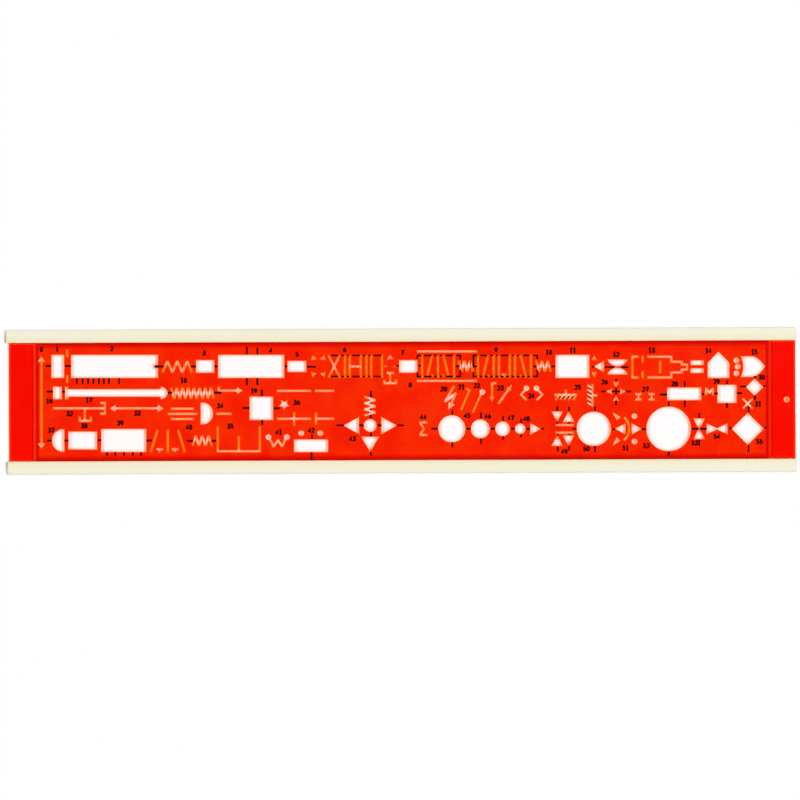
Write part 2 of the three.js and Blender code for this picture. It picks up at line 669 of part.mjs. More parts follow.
const template = new THREE.Group();
const upperRail = named("upper_edge_rail", edgeRail(1), railCream);
upperRail.position.x = UPPER_RAIL_SHIFT;
template.add(
  named("symbol_plate", symbolPlate(), plateRed),
  upperRail,
  named("lower_edge_rail", edgeRail(-1), railCream),
);

export default template;
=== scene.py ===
import math

import bmesh
import bpy
from mathutils import Matrix, Vector


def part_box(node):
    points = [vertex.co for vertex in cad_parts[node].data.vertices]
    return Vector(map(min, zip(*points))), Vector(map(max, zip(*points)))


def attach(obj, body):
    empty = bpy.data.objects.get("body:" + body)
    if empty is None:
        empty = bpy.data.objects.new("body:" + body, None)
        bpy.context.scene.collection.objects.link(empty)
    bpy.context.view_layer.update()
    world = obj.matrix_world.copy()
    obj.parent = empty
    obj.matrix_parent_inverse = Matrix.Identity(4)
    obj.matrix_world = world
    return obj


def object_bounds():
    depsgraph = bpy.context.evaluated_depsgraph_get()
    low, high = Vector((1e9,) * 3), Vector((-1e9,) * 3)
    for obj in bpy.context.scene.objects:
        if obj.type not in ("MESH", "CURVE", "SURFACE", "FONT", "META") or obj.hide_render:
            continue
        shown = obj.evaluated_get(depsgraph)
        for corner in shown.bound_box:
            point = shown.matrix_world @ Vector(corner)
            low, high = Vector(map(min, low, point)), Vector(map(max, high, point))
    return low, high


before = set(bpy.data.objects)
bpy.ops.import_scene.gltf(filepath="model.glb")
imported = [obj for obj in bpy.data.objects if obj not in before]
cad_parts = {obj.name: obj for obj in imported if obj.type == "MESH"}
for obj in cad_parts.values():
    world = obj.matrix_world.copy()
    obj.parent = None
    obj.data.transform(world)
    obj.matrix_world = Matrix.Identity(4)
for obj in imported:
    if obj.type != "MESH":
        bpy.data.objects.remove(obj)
cad_low, cad_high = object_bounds()

# Units and the frame's own sizes, in metres
MM = 0.001
PLATE_LOW, PLATE_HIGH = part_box("symbol_plate")
PLATE_THICKNESS = 1.2 * MM
FIELD_TOP = PLATE_LOW.z + PLATE_THICKNESS
PLATE_END = PLATE_HIGH.x

# The printed pattern, in millimetres on its own axes, which lie askew on the plate
PATTERN_SKEW = math.radians(-0.218)
INK_THICKNESS = 0.03
BOLD_TICK, FINE_TICK = 0.74, 0.63
DASH_WIDTH = 0.62
HATCH_WIDTH = 0.26
DIGIT_WIDTH, DIGIT_HEIGHT = 0.82, 1.5
DIGIT_STROKE = 0.53
DIGIT_ADVANCE = 1.26

# Shares that shape the strokes: heavier and lighter digits, points of an oval, and limits at bends and ends
DIGIT_WEIGHT = {"1": 1.4, "3": 1.1, "4": 1.1, "5": 0.95, "7": 1.2, "9": 1.1}
OVAL_STEPS = 14
MITRE_LIMIT = 0.6
CLOSED_WITHIN = 0.01

# Ticks along a row: the row's height on the pattern, then where each tick starts and ends
BOLD_ROWS = {
    13.3: [(-135.7, -133.6), (-128.3, -126.1)],
    13.15: [(-71.4, -70.2), (-44.7, -43.8)],
    13.1: [(-94.1, -90.7), (-80.4, -78.5)],
    3.55: [(-135.2, -132.9), (-129.4, -128.3)],
    3.1: [(-89.1, -87.5), (-71.6, -68.8)],
    2.95: [(127.4, 129.3)],
    2.8: [(118.6, 120.1)],
    2.6: [(114.1, 114.9)],
    2.4: [(98.1, 100.8)],
    -2.7: [(-60.6, -58.1)],
    -2.8: [(-48.8, -46.6)],
    -9.3: [(-16.4, -14.6), (-9.5, -7.8)],
    -10.6: [(33.8, 35.3), (47.2, 48.7), (110.2, 112.8), (113.4, 116)],
    -10.75: [(91.2, 92.8)],
    -14.95: [(-116, -114.5)],
    -15.1: [(-135.2, -133.2), (-128.5, -127), (-97.3, -95.2)],
    -15.2: [(-81.9, -79.6), (-72.6, -70.8)],
}
FINE_ROWS = {
    13.4: [(-2, -1.1), (6.2, 7.1)],
    13.2: [(20.4, 21.9)],
    13.1: [(26.9, 28.5), (49.9, 51.2), (56.8, 58.1)],
    13: [(-36.3, -32.9), (72.2, 73)],
    12.85: [(76.9, 80.7), (83.4, 86)],
    5.7: [(137.4, 138.3)],
    5.5: [(128.5, 130.8)],
    3.6: [(75.7, 77.5), (79.8, 82.9), (85.2, 87.1)],
    -9.3: [(-25.1, -22.2), (-1.9, 0.6)],
    -10.2: [(137.7, 138.6)],
    -10.4: [(124.3, 125.4)],
    -10.6: [(11, 13.5), (24.4, 26.1), (41.4, 42.8), (52.9, 54), (64.9, 66.4)],
    -10.8: [(79.9, 81)],
}

# Ticks across the rows: the place along the pattern, then where each tick starts and ends
BOLD_COLUMNS = {
    -59.1: [(6, 8.7)],
    -55.1: [(6, 8.7)],
    -53.4: [(1.9, 4.3)],
    -53.3: [(-9.1, -7.2)],
    101.4: [(-21, -19.3)],
    123.6: [(-2.7, -0.8)],
    134.2: [(8.7, 9.5), (0.4, 2.1)],
}
FINE_COLUMNS = {
    -59.1: [(17.7, 20.6)],
    -55.1: [(17.6, 20.3)],
    -34.5: [(-22.6, -19.5)],
    -34.35: [(-14.4, -12.7)],
    -11.9: [(1.4, 3.7), (-1.2, -0.5), (-3.5, -2.8), (-6.7, -5.2), (-13.6, -11.9), (-20.9, -19.4)],
    19.1: [(-5.2, -3.5), (-17.7, -15.7)],
    30: [(-6.7, -4.5), (-16.4, -14.2)],
    38.4: [(-7.6, -5.7), (-14.8, -13.5)],
    45.2: [(-8.3, -6.7), (-13.9, -12.7)],
    59: [(-3.8, -2), (-8.7, -8)],
    59.2: [(-13.1, -12.4), (-19.3, -17.1)],
    63.5: [(-3.9, -2.2), (-8.7, -7.9), (-13.1, -12.4), (-19, -17.1)],
    73.35: [(-3.9, -2.1), (-19.6, -17.1)],
    81.4: [(7.6, 8.3), (2.4, 5.1), (-1.6, 0.2)],
    101.4: [(-2.1, -0.3)],
    107.5: [(5.4, 7.5), (-2.3, 0.2)],
    113: [(-6.6, -4.6), (-17.2, -14.7)],
    123.6: [(6.4, 7.8)],
    131.8: [(-4.3, -2), (-19.4, -16.8)],
}

# Scales of short ticks under the long barrel and the wide lower box
SCALES = [
    {"at": (-123.8, -121.6, -119.5, -117.5, -115.4, -113.5, -111.6, -107.7), "span": (6.4, 8.7)},
    {"at": (-112.3, -109.2, -105.9, -102.5, -99.4), "span": (-21, -19.4)},
]

# Dashed frames round the valve ladders: heights of the two long sides, and the dashes on each
VALVE_TOP, VALVE_BOTTOM = 17.3, 9.3
LADDER_DASHES = [
    (-27.1, -24.4), (-23.2, -22.2), (-21, -20.2), (-19.1, -16.1), (-15, -14.1), (-12.9, -12.1), (-10.9, -8),
]
SHORT_FRAME_DASHES = [(5.6, 7.2), (8.3, 11.1), (12.1, 13.2), (14.4, 15.1), (16.5, 19.3), (20.5, 22.4)]
LONG_FRAME_DASHES = [
    (26.9, 28.5), (29.6, 32.3), (33.4, 34.5), (35.7, 36.4), (37.6, 40.4), (41.8, 42.5), (43.7, 44.4),
    (46, 48.4), (49.8, 51.7),
]
LONG_FRAME_STITCHES = {"first": 29.4, "pitch": 2.02, "length": 1.15, "count": 10}
FRAME_SIDES = {
    5.8: [(16, 17.5), (9.1, 11)],
    22.1: [(15.8, 17.5), (9.1, 11.9)],
    27.1: [(13.1, 17.4), (9, 11)],
    51.4: [(15.9, 17.4), (9, 11.8)],
}

# Black strokes between the teeth of the two hatched ground marks: middle, turn in degrees, and pitch
GROUND_MARKS = [{"x": 62.4, "y": 2.4, "turn": 0}, {"x": 72.5, "y": 2.2, "turn": -90}]
HATCH_PITCH = 1.65
HATCH_COUNT = 4
HATCH_LEAN = 0.8
HATCH_TOP, HATCH_BOTTOM = -0.5, -1.6

# Printed numbers, with the middle of each on the pattern
NUMBERS = {
    0: (-137.3, 19.6), 1: (-131.3, 19.8), 2: (-110.5, 19.9), 3: (-75.4, 18.2), 4: (-50, 19.2),
    5: (-40, 17.7), 6: (-21.9, 19.5), 7: (0.1, 18.3), 8: (3.1, 6.1), 9: (35.7, 19.4), 10: (55.8, 18.5),
    11: (64.9, 19.3), 12: (81.4, 17.7), 13: (94.9, 19.3), 14: (116.5, 19.1), 15: (134, 18.7),
    16: (-134.3, 0), 17: (-119.2, 0.3), 18: (-83.2, 7.8), 19: (-56.4, 3.8), 20: (15.8, 4.5),
    21: (22.5, 5.3), 22: (28.4, 5.8), 23: (37.4, 4.9), 24: (49.2, 1.9), 25: (66.8, 5.2), 26: (77, 7.2),
    27: (92.5, 4.4), 28: (103.7, 6.5), 29: (119.6, 7.3), 30: (136.8, 9), 31: (135.4, -1.2),
    32: (-126.5, -4.9), 33: (-100.8, -4.7), 34: (-69.3, -1.9), 35: (-65.4, -9.6), 36: (-40.1, -0.6),
    37: (-133.6, -11.2), 38: (-121, -9.5), 39: (-107.3, -8.4), 40: (-81.1, -10), 41: (-47, -11.9),
    42: (-34.6, -11.2), 43: (-18.9, -14.4), 44: (8, -6.1), 45: (24.7, -5.6), 46: (32.6, -5.8),
    47: (41.3, -6.5), 48: (47.3, -6.8), 49: (61.7, -19.3), 50: (70.1, -18.2), 51: (85, -17.9),
    52: (92.9, -17.1), 53: (111.3, -16), 54: (119.7, -13.5), 55: (135.9, -15.5),
}

# Colours, linear
FIELD_RED = (0.945, 0.0125, 0.0004, 1)
FIELD_ORANGE = (0.985, 0.0255, 0.0004, 1)
# Painted shadow that the rails cast on the plate beside them
RAIL_SHADOW_RED = (0.62, 0.0012, 0.0003, 1)
# Darker painted contact shadow right at the rails' edges
CONTACT_SHADOW_RED = (0.36, 0.004, 0.0008, 1)
BAND_RED = (0.985, 0.0035, 0.0003, 1)
# Painted shade and highlight for the slopes of the end bands
STEP_DARK = (0.69, 0.0015, 0.0002, 1)
STEP_LIGHT = (0.985, 0.021, 0.004, 1)
# Painted glow at the plate's ends, where light comes through the edge
END_GLOW_ORANGE = (0.8, 0.062, 0.018, 1)
# Painted glow on the walls of the cut-outs, where light comes through the plastic
WALL_GLOW_ORANGE = (0.98, 0.17, 0.02, 1)
# Painted glow on the bevelled rims of the cut-outs
RIM_GLOW_ORANGE = (0.85, 0.12, 0.006, 1)
RAIL_CREAM = (0.915, 0.87, 0.705, 1)
RAIL_SHADE = (0.89, 0.835, 0.66, 1)
# Painted red light from the plate on the rails near it, and a painted highlight on their inner edge
RAIL_RED_BOUNCE = (0.88, 0.8, 0.555, 1)
RAIL_GLOW = (1, 0.77, 0.52, 1)
INK_BLACK = (0.006, 0.0004, 0.0004, 1)
INK_WORN = (0.03, 0.001, 0.001, 1)
FLOOR_WHITE = (0.98, 0.98, 0.98, 1)
SKY_WHITE = (1, 1, 1, 1)

# Light through the plate: its red is over one, since fluorescent plastic turns other light into red
SHADOW_TINT = (1.1, 0.45, 0.085, 1)

# Grain of the materials: scales of the noise, and the part of the noise's range that shows
NOISE_DETAIL = 3
NOISE_LOW, NOISE_HIGH = 0.3, 0.7
FIELD_GRAIN, PLATE_GLOSS_GRAIN, PLATE_SKIN_GRAIN = 130, 90, 700
RIM_GRAIN, RIM_NOISE_LOW, RIM_NOISE_HIGH = 60, 0.4, 0.9
RAIL_GRAIN, RAIL_GLOSS_GRAIN, RAIL_SKIN_GRAIN = 18, 120, 450
INK_GRAIN, INK_NOISE_LOW, INK_NOISE_HIGH = 900, 0.45, 0.8

# Gloss and roughness of the materials, and the fine unevenness of their skins
PLATE_GLOSS, RAIL_GLOSS = 0.4, 0.35
PLATE_SMOOTH, PLATE_ROUGH = 0.08, 0.16
RAIL_SMOOTH, RAIL_ROUGH = 0.38, 0.52
RIM_ROUGHNESS, INK_ROUGHNESS = 0.6, 0.8
PLATE_SKIN_DEPTH, PLATE_SKIN_STRENGTH = 0.01 * MM, 0.1
RAIL_SKIN_DEPTH, RAIL_SKIN_STRENGTH = 0.02 * MM, 0.2

# Places where the colours of the plate and the rails change, measured from the template's middle
BAND_START = PLATE_END - 9.2 * MM
FIELD_END = BAND_START - 1.5 * MM
END_EDGE_START = PLATE_END - 1 * MM
FIELD_SIDE = 22.5 * MM
SHADE_START, SHADE_FULL = FIELD_SIDE - 2.9 * MM, FIELD_SIDE - 0.4 * MM
CONTACT_START, CONTACT_FULL = FIELD_SIDE - 0.6 * MM, FIELD_SIDE - 0.12 * MM
COVERED_START, COVERED_FULL = FIELD_SIDE + 0.1 * MM, FIELD_SIDE + 0.6 * MM
# Where the painted highlight on the rails' inner edge and the painted red light from the plate fade out
RAIL_GLOW_FULL, RAIL_GLOW_END = FIELD_SIDE + 0.2 * MM, FIELD_SIDE + 0.7 * MM
RAIL_RED_BOUNCE_END = FIELD_SIDE + 3 * MM

# Painted highlight and shade lines where the bands' slopes would catch or lose light: distance from the
# middle, half width and colour
STEP_LINES = [
    (BAND_START - 0.4 * MM, 0.6 * MM, STEP_LIGHT),
    (BAND_START + 0.25 * MM, 0.35 * MM, STEP_DARK),
    (FIELD_END - 0.1 * MM, 0.7 * MM, STEP_DARK),
]

# Share of such a line's half width that has its full colour
LINE_CORE = 0.3

# Upward part of a face's normal, below which it counts as a wall and above which as flat
WALL_BELOW, FLAT_ABOVE = 0.3, 0.6

# Softened edges of the CAD pieces
RIM_WIDTH = 0.15 * MM
RAIL_EDGE_WIDTH = 0.06 * MM
EDGE_SEGMENTS = 2
EDGE_ANGLE = math.radians(60)
FLAT_ANGLE = math.radians(0.1)
WELD_REACH = 0.02 * MM
RIM_MATERIAL = 1

# Studio, in metres and watts: four flat lamps that face down, one over each corner as on a copy stand
LAMP_LEFT, LAMP_RIGHT, LAMP_ALONG, LAMP_HEIGHT = -2.65, 2.4, 1.45, 5.5
LAMP_WIDTH, LAMP_LENGTH = 0.5, 1.2
LAMP_POWER_LEFT, LAMP_POWER_RIGHT = 93, 145
SKY_STRENGTH = 0.7
SKY_FILL = 0.2
SKY_BRIGHT_BELOW, SKY_DARK_ABOVE = 0.1, 0.75

# Floor, in metres: its reach, and how its shadow fades to plain white round the object and far from it
FLOOR_SIZE = 30
FLOOR_DROP = 0.02 * MM
FLOOR_SHADED_WITHIN, FLOOR_PLAIN_BEYOND = 0.35, 1.2
FLOOR_LIFT = 0.92
FLOOR_EDGE = 0.15 * MM

# Camera, straight over the template: the scan's frame is square and this wide
CAMERA_HEIGHT = 4
CAMERA_REACH = 40
FRAME_WIDTH = 304.4 * MM
FRAME_CENTRE = Vector((-0.84 * MM, 0.34 * MM))
SENSOR_WIDTH = 36


# Node helpers


def new_material(name):
    """A node material with its Principled shader."""
    material = bpy.data.materials.new(name)
    material.use_nodes = True
    return material, material.node_tree, material.node_tree.nodes["Principled BSDF"]


def add_node(tree, kind, **settings):
    """A new node with these settings."""
    node = tree.nodes.new(kind)
    for key, value in settings.items():
        setattr(node, key, value)
    return node


def feed(tree, socket, value):
    """Gives a socket a plain value, or links it to another node's output."""
    if isinstance(value, bpy.types.NodeSocket):
        tree.links.new(value, socket)
    else:
        socket.default_value = value


def calculate(tree, operation, *values):
    """The result of one sum on values, each a number or an output."""
    node = add_node(tree, "ShaderNodeMath", operation=operation)
    for socket, value in zip(node.inputs, values):
        feed(tree, socket, value)
    return node.outputs["Value"]


def blend(tree, factor, first, second, data_type="RGBA"):
    """A colour or value between two others, each given outright or as an output."""
    mix = add_node(tree, "ShaderNodeMix", data_type=data_type)
    feed(tree, mix.inputs["Factor"], factor)
    feed(tree, mix.inputs["A"], first)
    feed(tree, mix.inputs["B"], second)
    return mix.outputs["Result"]


def blend_shaders(tree, factor, first, second):
    """A surface that goes from the first shader to the second as the factor rises."""
    mix = add_node(tree, "ShaderNodeMixShader")
    for socket, value in zip(mix.inputs, (factor, first, second)):
        feed(tree, socket, value)
    return mix.outputs["Shader"]


def remap(tree, value, low, high, to_low=0, to_high=1):
    """A value carried smoothly from one range to another."""
    node = add_node(tree, "ShaderNodeMapRange", interpolation_type="SMOOTHSTEP")
    for key, number in (("From Min", low), ("From Max", high), ("To Min", to_low), ("To Max", to_high)):
        node.inputs[key].default_value = number
    feed(tree, node.inputs["Value"], value)
    return node.outputs["Result"]


def coordinate(tree, kind, axis):
    """One axis of the object's own coordinates, of its normals or of the sky's directions."""
    place = add_node(tree, "ShaderNodeTexCoord")
    axes = add_node(tree, "ShaderNodeSeparateXYZ")
    feed(tree, axes.inputs["Vector"], place.outputs[kind])
    return axes.outputs[axis]


def distance_from_middle(tree, axis):
    """Distance from the template's middle along one of its axes."""
    return calculate(tree, "ABSOLUTE", coordinate(tree, "Object", axis))


def noise(tree, scale):
    """Fine variation over the object's own coordinates."""
    place = add_node(tree, "ShaderNodeTexCoord")
    texture = add_node(tree, "ShaderNodeTexNoise")
    texture.inputs["Scale"].default_value = scale
    texture.inputs["Detail"].default_value = NOISE_DETAIL
    feed(tree, texture.inputs["Vector"], place.outputs["Object"])
    return texture.outputs["Fac"]


def add_bump(tree, shader, height, distance, strength):
    """Fine unevenness on a shader's surface."""
    bump = add_node(tree, "ShaderNodeBump")
    bump.inputs["Strength"].default_value = strength
    bump.inputs["Distance"].default_value = distance
    feed(tree, bump.inputs["Height"], height)
    feed(tree, shader.inputs["Normal"], bump.outputs["Normal"])


def seen_directly(tree):
    """One for rays from the camera, also by way of a gloss or glass, and nought for the rest."""
    path = add_node(tree, "ShaderNodeLightPath")
    total = path.outputs["Is Camera Ray"]
    for name in ("Is Glossy Ray", "Is Transmission Ray"):
        total = calculate(tree, "MAXIMUM", total, path.outputs[name])
    return total


def let_lamps_through(tree, shader):
    """Lets lamps and light off the floor through the plastic, so its shadows take its tint."""
    path = add_node(tree, "ShaderNodeLightPath")
    clear = add_node(tree, "ShaderNodeBsdfTransparent")
    clear.inputs["Color"].default_value = SHADOW_TINT
    surface = shader.outputs["BSDF"]
    for ray in ("Is Shadow Ray", "Is Diffuse Ray"):
        surface = blend_shaders(tree, path.outputs[ray], surface, clear.outputs["BSDF"])
    feed(tree, tree.nodes["Material Output"].inputs["Surface"], surface)


def line_at(tree, reach, middle, half_width):
    """A soft line across the plate at this distance from its middle."""
    away = calculate(tree, "ABSOLUTE", calculate(tree, "SUBTRACT", reach, middle))
    return remap(tree, away, LINE_CORE * half_width, half_width, 1, 0)


def upright(tree):
    """One on faces that stand on edge, such as the walls of the cut-outs, and nought on flat ones."""
    upward = calculate(tree, "ABSOLUTE", coordinate(tree, "Normal", "Z"))
    return remap(tree, upward, WALL_BELOW, FLAT_ABOVE, 1, 0)


# Materials


def plate_plastic():
    """Translucent red moulding, deeper in its end bands, with painted highlights and shade at its steps, a
    painted glow on its walls and ends, and painted shadow along the rails.
    """
    material, tree, shader = new_material("plate_plastic")
    reach = distance_from_middle(tree, "X")
    side = distance_from_middle(tree, "Y")
    mottle = remap(tree, noise(tree, FIELD_GRAIN), NOISE_LOW, NOISE_HIGH)
    field = blend(tree, mottle, FIELD_RED, FIELD_ORANGE)
    # Painted shadow of the rails over a band along each side of the field
    colour = blend(tree, remap(tree, side, SHADE_START, SHADE_FULL), field, RAIL_SHADOW_RED)
    colour = blend(tree, remap(tree, reach, FIELD_END, BAND_START), colour, BAND_RED)
    # Painted highlight and shade lines on the slopes of the end bands
    for middle, half_width, line_colour in STEP_LINES:
        colour = blend(tree, line_at(tree, reach, middle, half_width), colour, line_colour)
    # Painted contact shadow right at the rails' edges
    colour = blend(tree, remap(tree, side, CONTACT_START, CONTACT_FULL), colour, CONTACT_SHADOW_RED)
    colour = blend(tree, remap(tree, side, COVERED_START, COVERED_FULL), colour, field)
    # Painted glow at the plate's ends
    colour = blend(tree, remap(tree, reach, END_EDGE_START, PLATE_END), colour, END_GLOW_ORANGE)
    wall = upright(tree)
    # The walls of the cut-outs get a painted orange glow
    feed(tree, shader.inputs["Base Color"], blend(tree, wall, colour, WALL_GLOW_ORANGE))
    gloss_noise = noise(tree, PLATE_GLOSS_GRAIN)
    roughness = remap(tree, gloss_noise, NOISE_LOW, NOISE_HIGH, PLATE_SMOOTH, PLATE_ROUGH)
    feed(tree, shader.inputs["Roughness"], roughness)
    feed(tree, shader.inputs["Specular IOR Level"], remap(tree, wall, 0, 1, PLATE_GLOSS, 0))
    add_bump(tree, shader, noise(tree, PLATE_SKIN_GRAIN), PLATE_SKIN_DEPTH, PLATE_SKIN_STRENGTH)
    let_lamps_through(tree, shader)
    return material


def rim_plastic():
    """The bevelled edges of the cut-outs, with a painted orange glow for the light they catch."""
    material, tree, shader = new_material("rim_plastic")
    deeper = remap(tree, noise(tree, RIM_GRAIN), RIM_NOISE_LOW, RIM_NOISE_HIGH)
    colour = blend(tree, deeper, RIM_GLOW_ORANGE, FIELD_RED)
    # Painted glow at the plate's ends
    at_end = remap(tree, distance_from_middle(tree, "X"), END_EDGE_START, PLATE_END)
    feed(tree, shader.inputs["Base Color"], blend(tree, at_end, colour, END_GLOW_ORANGE))
    shader.inputs["Roughness"].default_value = RIM_ROUGHNESS
    shader.inputs["Specular IOR Level"].default_value = 0
    let_lamps_through(tree, shader)
    return material


def rail_plastic():
    """Cream push-on strip with a faint mottle, with painted red light from the plate towards it and a
    painted highlight on its inner edge.
    """
    material, tree, shader = new_material("rail_plastic")
    side = distance_from_middle(tree, "Y")
    colour = blend(tree, noise(tree, RAIL_GRAIN), RAIL_CREAM, RAIL_SHADE)
    # Painted red light from the plate, fading away from it
    colour = blend(tree, remap(tree, side, FIELD_SIDE, RAIL_RED_BOUNCE_END, 1, 0), colour, RAIL_RED_BOUNCE)
    # Painted highlight on the rails' inner edge
    glow = remap(tree, side, RAIL_GLOW_FULL, RAIL_GLOW_END, 1, 0)
    feed(tree, shader.inputs["Base Color"], blend(tree, glow, colour, RAIL_GLOW))
    gloss_noise = noise(tree, RAIL_GLOSS_GRAIN)
    roughness = remap(tree, gloss_noise, NOISE_LOW, NOISE_HIGH, RAIL_SMOOTH, RAIL_ROUGH)
    feed(tree, shader.inputs["Roughness"], roughness)
    shader.inputs["Specular IOR Level"].default_value = RAIL_GLOSS
    add_bump(tree, shader, noise(tree, RAIL_SKIN_GRAIN), RAIL_SKIN_DEPTH, RAIL_SKIN_STRENGTH)
    return material


def ink():
    """Matt black print, a little worn."""
    material, tree, shader = new_material("ink")
    worn = remap(tree, noise(tree, INK_GRAIN), INK_NOISE_LOW, INK_NOISE_HIGH)
    feed(tree, shader.inputs["Base Color"], blend(tree, worn, INK_BLACK, INK_WORN))
    shader.inputs["Roughness"].default_value = INK_ROUGHNESS
    shader.inputs["Specular IOR Level"].default_value = 0
    return material


def floor_white():
    """White floor: full shadow under the object, a lighter one round it, and plain white far away."""
    material, tree, shader = new_material("floor_white")
    shader.inputs["Base Color"].default_value = FLOOR_WHITE
    shader.inputs["Roughness"].default_value = 1
    shader.inputs["Specular IOR Level"].default_value = 0
    place = add_node(tree, "ShaderNodeTexCoord")
    away = add_node(tree, "ShaderNodeVectorMath", operation="LENGTH")
    feed(tree, away.inputs[0], place.outputs["Object"])
    plain = remap(tree, away.outputs["Value"], FLOOR_SHADED_WITHIN, FLOOR_PLAIN_BEYOND)
    for axis, edge in (("X", cad_high.x), ("Y", cad_high.y)):
        outside = remap(tree, distance_from_middle(tree, axis), edge, edge + FLOOR_EDGE, 0, FLOOR_LIFT)
        plain = calculate(tree, "MAXIMUM", plain, outside)
    factor = calculate(tree, "MULTIPLY", plain, seen_directly(tree))
    white = add_node(tree, "ShaderNodeEmission")
    surface = blend_shaders(tree, factor, shader.outputs["BSDF"], white.outputs["Emission"])
    feed(tree, tree.nodes["Material Output"].inputs["Surface"], surface)
    return material


# The CAD pieces, with softened edges


def dress(node_name, *materials):
    """Gives a CAD piece its materials."""
    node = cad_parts[node_name]
    node.data.materials.clear()
    for material in materials:
        node.data.materials.append(material)
    return node


def soften_edges(node, width, material_index=0):
    """Small rounded edges on a CAD piece, made by modifiers so its mesh stays as it is.

    Each flat face is first joined and split into plumper triangles, since a bevel folds thin ones over.
    """
    weld = node.modifiers.new("weld", "WELD")
    weld.merge_threshold = WELD_REACH
    flat = node.modifiers.new("flat", "DECIMATE")
    flat.decimate_type = "DISSOLVE"
    flat.angle_limit = FLAT_ANGLE
    split = node.modifiers.new("split", "TRIANGULATE")
    split.ngon_method = "BEAUTY"
    bevel = node.modifiers.new("bevel", "BEVEL")
    bevel.limit_method = "ANGLE"
    bevel.angle_limit = EDGE_ANGLE
    bevel.width = width
    bevel.segments = EDGE_SEGMENTS
    bevel.use_clamp_overlap = False
    bevel.loop_slide = False
    bevel.material = material_index


# Printed marks


def add_bar(bm, start, end, width):
    """One printed bar from start to end, as a thin closed block."""
    along = (Vector(end) - Vector(start)).normalized()
    side = Vector((-along.y, along.x)) * width / 2
    corners = [Vector(start) - side, Vector(end) - side, Vector(end) + side, Vector(start) + side]
    low = [bm.verts.new((c.x, c.y, 0)) for c in corners]
    high = [bm.verts.new((c.x, c.y, INK_THICKNESS)) for c in corners]
    bm.faces.new(reversed(low))
    bm.faces.new(high)
    for i in range(4):
        j = (i + 1) % 4
        bm.faces.new((low[i], low[j], high[j], high[i]))


def add_stroke(bm, points, width):
    """One printed stroke along a line of points, as a thin closed ribbon with mitred bends."""
    points = [Vector(p) for p in points]
    closed = (points[0] - points[-1]).length < CLOSED_WITHIN * width
    if closed:
        points.pop()
    last = len(points) - 1
    rings = []
    for i, point in enumerate(points):
        before = points[i - 1] if i or closed else None
        after = points[(i + 1) % len(points)] if i < last or closed else None
        ahead = (after - point).normalized() if after else (point - before).normalized()
        behind = (point - before).normalized() if before else ahead
        across = Vector((-ahead.y - behind.y, ahead.x + behind.x)).normalized()
        bend = max(across.dot(Vector((-ahead.y, ahead.x))), MITRE_LIMIT)
        side = across * width / 2 / bend
        corners = (point - side, point + side)
        rings.append([bm.verts.new((c.x, c.y, z)) for z in (0, INK_THICKNESS) for c in corners])
    pairs = list(zip(rings, rings[1:]))
    if closed:
        pairs.append((rings[-1], rings[0]))
    else:
        bm.faces.new([rings[0][k] for k in (0, 1, 3, 2)])
        bm.faces.new([rings[-1][k] for k in (2, 3, 1, 0)])
    for a, b in pairs:
        for j, k in ((0, 2), (2, 3), (3, 1), (1, 0)):
            bm.faces.new((a[j], a[k], b[k], b[j]))


def oval(x, y, width, height, start=0, end=360):
    """Points along an oval, or the part of it between two bearings in degrees."""
    turn = end - start
    bearings = [math.radians(start + turn * i / OVAL_STEPS) for i in range(OVAL_STEPS + 1)]
    return [(x + width / 2 * math.cos(b), y + height / 2 * math.sin(b)) for b in bearings]


def digit_strokes():
    """Plain technical numerals, as strokes in a box one wide and one high."""
    tail = [(0.02, 0.34), (0.26, 0.72), (0.74, 1)]
    bowl = oval(0.5, 0.3, 1, 0.6)
    return {
        "0": [oval(0.5, 0.5, 1, 1)],
        "1": [[(0.12, 0.76), (0.55, 1), (0.55, 0)], [(0.15, 0), (0.95, 0)]],
        "2": [oval(0.5, 0.71, 0.96, 0.58, 165, -35) + [(0, 0), (1.02, 0)]],
        "3": [[(0, 1), (0.95, 1), (0.42, 0.6)] + oval(0.45, 0.3, 1.06, 0.6, 80, -160)],
        "4": [[(0.74, 0), (0.74, 1), (0, 0.27), (1.06, 0.27)]],
        "5": [[(0.94, 1), (0.14, 1), (0.08, 0.52)] + oval(0.44, 0.31, 1.1, 0.62, 118, -155)],
        "6": [bowl, tail],
        "7": [[(0, 1), (1, 1), (0.38, 0)]],
        "8": [oval(0.5, 0.76, 0.84, 0.48), oval(0.5, 0.27, 1, 0.54)],
        "9": [[(1 - x, 1 - y) for x, y in stroke] for stroke in (bowl, tail)],
    }


def print_piece(name, bm, material):
    """Puts printed marks on the field, turned with the pattern, as one piece that rides on the plate."""
    turn = Matrix.Rotation(PATTERN_SKEW, 4, "Z")
    bm.transform(Matrix.Translation((0, 0, FIELD_TOP)) @ turn @ Matrix.Scale(MM, 4))
    bmesh.ops.recalc_face_normals(bm, faces=bm.faces[:])
    mesh = bpy.data.meshes.new(name)
    bm.to_mesh(mesh)
    bm.free()
    mesh.materials.append(material)
    piece = bpy.data.objects.new(name, mesh)
    bpy.context.scene.collection.objects.link(piece)
    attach(piece, "plate")


def printed_ticks(material):
    """Alignment ticks beside the cut-outs, and the scales under two of them."""
    bm = bmesh.new()
    bold, fine = (BOLD_ROWS, BOLD_COLUMNS, BOLD_TICK), (FINE_ROWS, FINE_COLUMNS, FINE_TICK)
    for rows, columns, width in (bold, fine):
        for y, spans in rows.items():
            for start, end in spans:
                add_bar(bm, (start, y), (end, y), width)
        for x, spans in columns.items():
            for start, end in spans:
                add_bar(bm, (x, start), (x, end), width)
    for scale in SCALES:
        start, end = scale["span"]
        for x in scale["at"]:
            add_bar(bm, (x, start), (x, end), FINE_TICK)
    print_piece("printed_ticks", bm, material)


